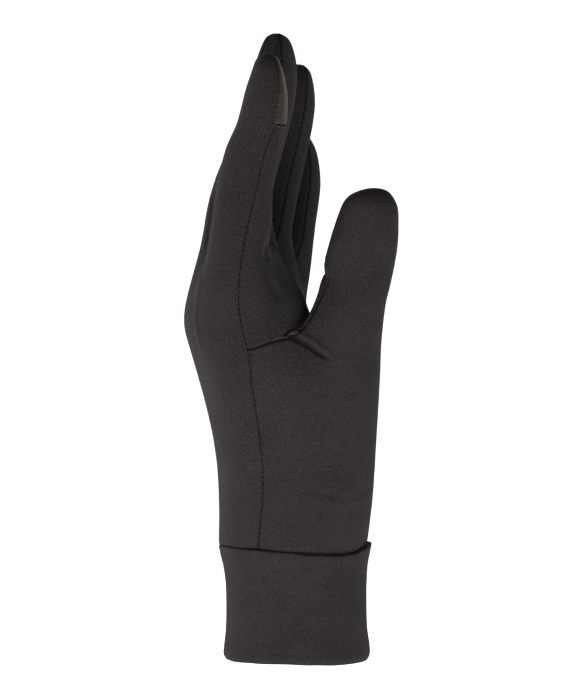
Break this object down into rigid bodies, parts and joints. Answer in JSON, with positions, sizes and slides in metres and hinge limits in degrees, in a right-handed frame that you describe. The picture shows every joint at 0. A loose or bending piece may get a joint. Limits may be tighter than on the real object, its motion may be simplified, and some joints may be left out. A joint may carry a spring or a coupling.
{
  "type": "glove liner",
  "caption": "Left-hand glove liner in thin dark stretch jersey, held in its worn form, with fourchettes between the fingers, an index fingertip patch and a folded wrist band",
  "frame": {"origin": "the middle of the wrist opening, level with the highest places of the wrist band's slightly curved lower edge", "axes": "+Z from the wrist to the fingertips, +X out of the palm, +Y towards the little finger, -Y towards the thumb"},
  "size_m": [0.0781, 0.085, 0.2311],
  "materials": {
    "jersey": "fine matt stretch jersey, warm charcoal, with tonal stitching",
    "patch_cloth": "smooth conductive cloth, taupe grey with a slight sheen"
  },
  "bodies": {
    "root": {"back_panel": "jersey", "palm_panel": "jersey", "thumb_panel": "jersey", "fourchette_index_middle": "jersey", "fourchette_middle_ring": "jersey", "fourchette_ring_little": "jersey", "fingertip_patch": "patch_cloth", "wrist_band": "jersey"}
  },
  "joints": []
}
